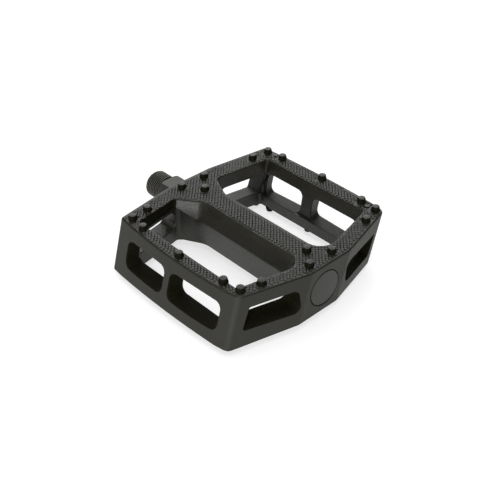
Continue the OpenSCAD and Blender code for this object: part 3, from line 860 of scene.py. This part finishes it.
# %% Turn the end cap
cap_r, spigot_r, hollow_r, hollow_end = 9.0, 7.95, 6.0, 108.0
ring_start, ring_end, ring_r = 106.0, 107.2, 7.0
cap_profile = [(hollow_end, 0), (hollow_end, hollow_r), (spigot_start, hollow_r),
               (spigot_start, spigot_r - 0.35), (spigot_start + 0.4, spigot_r), (ring_start, spigot_r),
               (ring_start, ring_r), (ring_end, ring_r), (ring_end, spigot_r), (cap_seat, spigot_r),
               (cap_seat, cap_r), (out_face - 0.45, cap_r), (out_face - 0.16, cap_r - 0.1),
               (out_face, cap_r - 0.42), (out_face, 0)]
cap = turned("cap_plug", cap_profile)
shade(cap)
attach(cap, "platform")
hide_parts("end_cap")
print("cap", len(cap.data.polygons), "faces")

# %% [markdown]
# ## Put the finishes on
# Each new piece gets the finish of its material, and each CAD piece that stays gets the finish of its slot.
# The sides of the studs get the same painted shade as the window insides. The distance of a face from the
# axle tells the crests of the thread, lighter with wear and a painted highlight, from its grooves, which get
# painted shade.

# %% Finishes on the new pieces
stud_tilt, crest_r, end_tilt, end_bevel = 0.75, 6.95, 0.98, 0.3
for piece, mat in ((studs, moulding), (pebbles, moulding), (axle, axle_black), (cap, cap_plastic)):
    piece.data.materials.clear()
    piece.data.materials.append(mat)
# The steep sides of the studs get the painted shade of the window insides
studs.data.materials.append(window_painted_shade)
top_index, side_index = 0, 1
for face in studs.data.polygons:
    face.material_index = side_index if abs(face.normal.z) < stud_tilt else top_index
# The grooves of the thread get painted shade, the crests a lighter finish that is partly a painted highlight
axle.data.materials.append(root_painted_shade)
axle.data.materials.append(crest_wear_and_highlight)
root_index, crest_index = 1, 2
for face in axle.data.polygons:
    spot = face.center / MM
    if thread_end + end_bevel < spot.x < thread_start and abs(face.normal.x) < end_tilt:
        face.material_index = crest_index if math.hypot(spot.y, spot.z) > crest_r else root_index
print("axle has", [m.name for m in axle.data.materials])

# %% Finishes on the CAD pieces
slot_finish = {"moulding": moulding, "cap_plastic": cap_plastic, "axle_steel": axle_black,
               "bearing_steel": bearing_steel, "rubber": seal_rubber, "bronze": bush_bronze,
               "cage_brass": cage_brass, "nylon": nylon_white}
for sub in frame["record"]["subparts"]:
    for place in frame["nodes"][sub["node"]].material_slots:
        place.material = slot_finish[sub["material_slot"]]
print("slots with a finish", len(slot_finish))

# %% [markdown]
# ## Floor, light and camera
# A pale floor under the studs gives the plain studio look. It glows a little for the camera and for
# reflections, so it reads as white where it is lit and still keeps the soft shadow. The world is white only
# near the horizon and dim above it. One broad lamp hangs overhead, a long one stands behind and puts
# the sheen on the treads, a small one low in front lights the outer walls, and a weak one fills in from
# the left.

# %% Floor
floor_z, floor_size = -16.0, 6.0
floor_tone, floor_lift = 0.5, 0.68
bpy.ops.object.select_all(action="DESELECT")
bpy.ops.mesh.primitive_plane_add(size=floor_size, location=(mid_x * MM, 0, floor_z * MM))
bpy.ops.object.transform_apply(location=True, rotation=True, scale=True)
floor = bpy.context.object
floor.name = "floor"
floor_mat = bpy.data.materials.new("pale_floor")
floor_mat.use_nodes = True
nodes, links = floor_mat.node_tree.nodes, floor_mat.node_tree.links
nodes.clear()
matt, glow, both = [nodes.new("ShaderNode" + kind) for kind in ("BsdfDiffuse", "Emission", "AddShader")]
mirrored, seen, lift = [nodes.new("ShaderNodeMath") for _ in range(3)]
rays = nodes.new("ShaderNodeLightPath")
target = nodes.new("ShaderNodeOutputMaterial")
matt.inputs["Color"].default_value = (floor_tone, floor_tone, floor_tone, 1)
mirrored.operation = seen.operation = "MAXIMUM"
lift.operation = "MULTIPLY"
lift.inputs[1].default_value = floor_lift
links.new(rays.outputs["Is Glossy Ray"], mirrored.inputs[0])
links.new(rays.outputs["Is Transmission Ray"], mirrored.inputs[1])
links.new(rays.outputs["Is Camera Ray"], seen.inputs[0])
links.new(mirrored.outputs["Value"], seen.inputs[1])
links.new(seen.outputs["Value"], lift.inputs[0])
links.new(lift.outputs["Value"], glow.inputs["Strength"])
links.new(matt.outputs["BSDF"], both.inputs[0])
links.new(glow.outputs["Emission"], both.inputs[1])
links.new(both.outputs["Shader"], target.inputs["Surface"])
floor.data.materials.append(floor_mat)
print("floor at", floor_z, "mm")

# %% White surround
backdrop_low, backdrop_high, room_level = 0.04, 0.2, 0.04
world = bpy.data.worlds.new("studio")
bpy.context.scene.world = world
world.use_nodes = True
nodes, links = world.node_tree.nodes, world.node_tree.links
sky = nodes["Background"]
toward, height, fade = [nodes.new("ShaderNode" + kind) for kind in ("TexCoord", "SeparateXYZ", "MapRange")]
links.new(toward.outputs["Generated"], height.inputs["Vector"])
links.new(height.outputs["Z"], fade.inputs["Value"])
fade.inputs["From Min"].default_value, fade.inputs["From Max"].default_value = backdrop_low, backdrop_high
fade.inputs["To Min"].default_value, fade.inputs["To Max"].default_value = 1.0, room_level
links.new(fade.outputs["Result"], sky.inputs["Strength"])
sky.inputs["Color"].default_value = (1, 1, 1, 1)
print("surround fades from", backdrop_low, "to", backdrop_high)


# %% Lamps
def lamp(name, place, size, energy):
    """A rectangular lamp, placed and sized in metres, that points at the middle of the pedal."""
    light = bpy.data.lights.new(name, "AREA")
    light.shape, light.size, light.size_y, light.energy = "RECTANGLE", size[0], size[1], energy
    obj = bpy.data.objects.new(name, light)
    bpy.context.scene.collection.objects.link(obj)
    obj.location = place
    obj.rotation_euler = (Vector((mid_x * MM, 0, 0)) - Vector(place)).to_track_quat("-Z", "Y").to_euler()


lamp("overhead", place=(0.06, 0.05, 0.95), size=(0.9, 0.9), energy=6.0)
lamp("back_left", place=(-0.65, 0.6, 0.42), size=(1.0, 0.5), energy=5.3)
lamp("front_left", place=(0.472, -0.774, 0.2), size=(0.2, 0.18), energy=4.4)
lamp("left_fill", place=(-0.387, -0.638, 0.45), size=(0.6, 0.5), energy=0.75)
print("lamps", [light.name for light in bpy.data.lights])

# %% Camera at the photograph's angle
azimuth, elevation, distance = math.radians(46.56), math.radians(36.82), 420.0
lens, sensor_width = 63.26, 36.0
aim = Vector((66.79, -4.91, 0))
across_floor = Vector((math.sin(azimuth), -math.cos(azimuth), 0))
back = across_floor * math.cos(elevation) + Vector((0, 0, math.sin(elevation)))
camera_data = bpy.data.cameras.new("camera")
camera_data.lens, camera_data.sensor_width = lens, sensor_width
camera = bpy.data.objects.new("camera", camera_data)
bpy.context.scene.collection.objects.link(camera)
camera.location = (aim + back * distance) * MM
camera.rotation_euler = back.to_track_quat("Z", "Y").to_euler()
bpy.context.scene.camera = camera
bpy.context.scene.view_settings.view_transform = "Standard"
print("camera", [round(v, 4) for v in camera.location])
